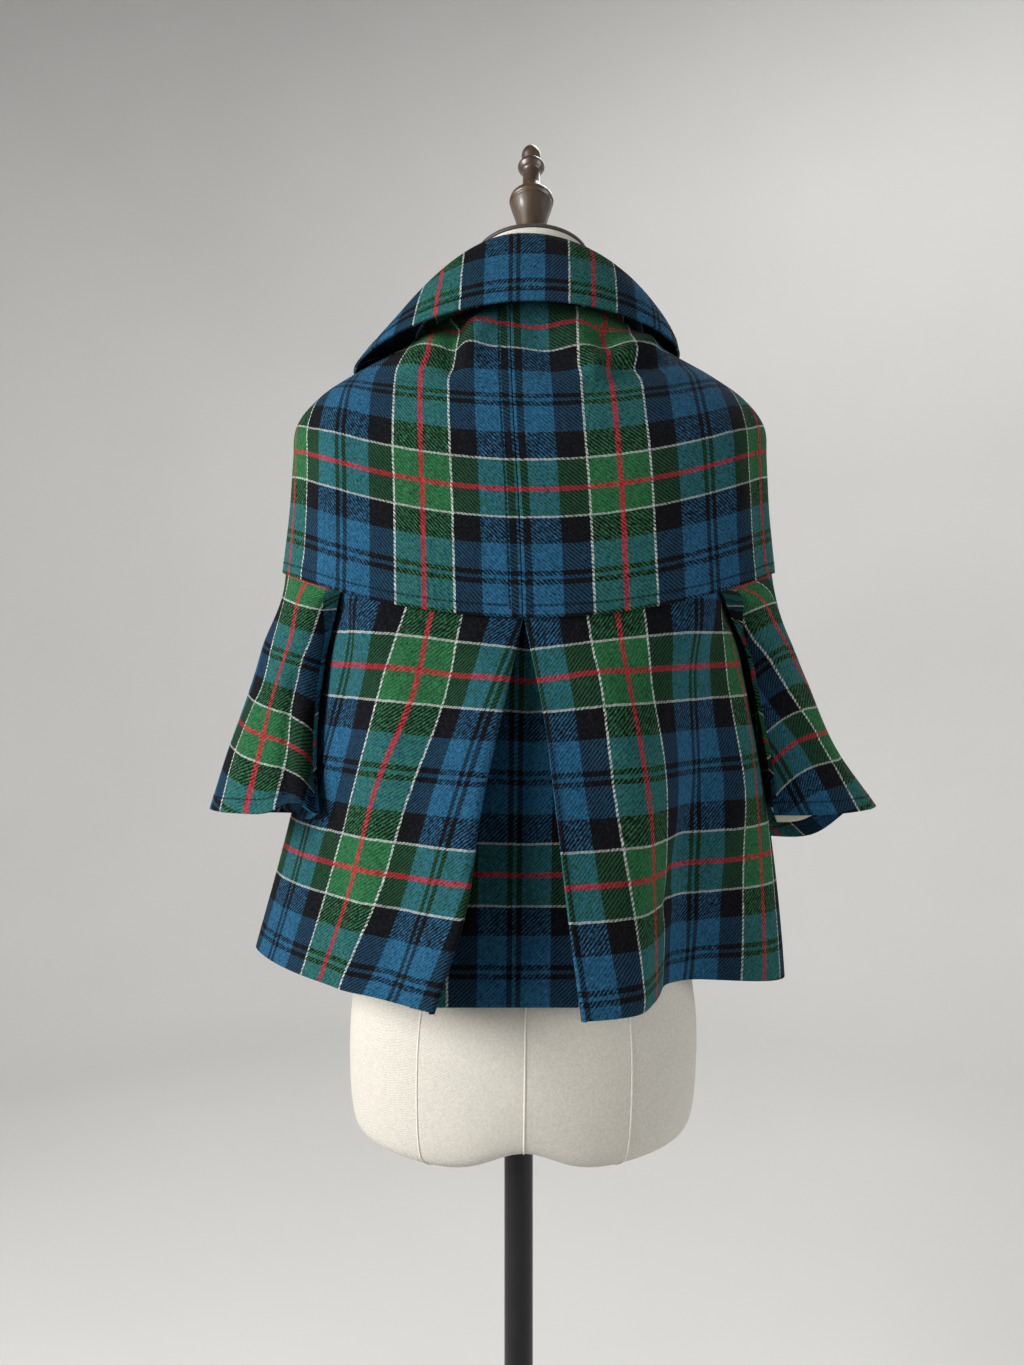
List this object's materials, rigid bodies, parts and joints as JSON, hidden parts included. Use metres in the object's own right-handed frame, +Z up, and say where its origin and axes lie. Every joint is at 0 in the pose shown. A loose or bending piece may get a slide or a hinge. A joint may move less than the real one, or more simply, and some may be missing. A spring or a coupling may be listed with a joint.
{
  "type": "cape coat on a dress form",
  "caption": "Tartan wool cape coat with a rolled collar, shoulder yoke, bell sleeves and an inverted back pleat, on a limbless dress form with a turned finial, pole and round base.",
  "frame": {"origin": "on the floor, at the centre of the base's underside, under the pole", "axes": "+Z up; the coat's back faces -Y, and its wearer's right side is +X"},
  "size_m": [0.5939, 0.3594, 1.5913],
  "materials": {
    "tartan_wool": "napped wool twill, woven tartan",
    "cream_lining": "smooth lining cloth",
    "dark_horn": "polished",
    "cream_canvas": "tight plain canvas",
    "dark_plate": "dark lacquer",
    "turned_wood": "stained and varnished",
    "black_metal": "satin black paint"
  },
  "bodies": {
    "root": {"collar": "tartan_wool", "skirt_back": "tartan_wool", "skirt_front_left": "tartan_wool", "skirt_front_right": "tartan_wool", "sleeve_left": "tartan_wool", "sleeve_right": "tartan_wool", "yoke_back_left": "tartan_wool", "yoke_back_right": "tartan_wool", "yoke_front_left": "tartan_wool", "yoke_front_right": "tartan_wool", "sleeve_lining_left": "cream_lining", "sleeve_lining_right": "cream_lining", "button_1": "dark_horn", "button_2": "dark_horn", "button_3": "dark_horn", "button_4": "dark_horn", "form_torso": "cream_canvas", "neck_plate": "dark_plate", "finial": "turned_wood", "stand_pole": "black_metal", "stand_base": "black_metal"}
  },
  "joints": []
}
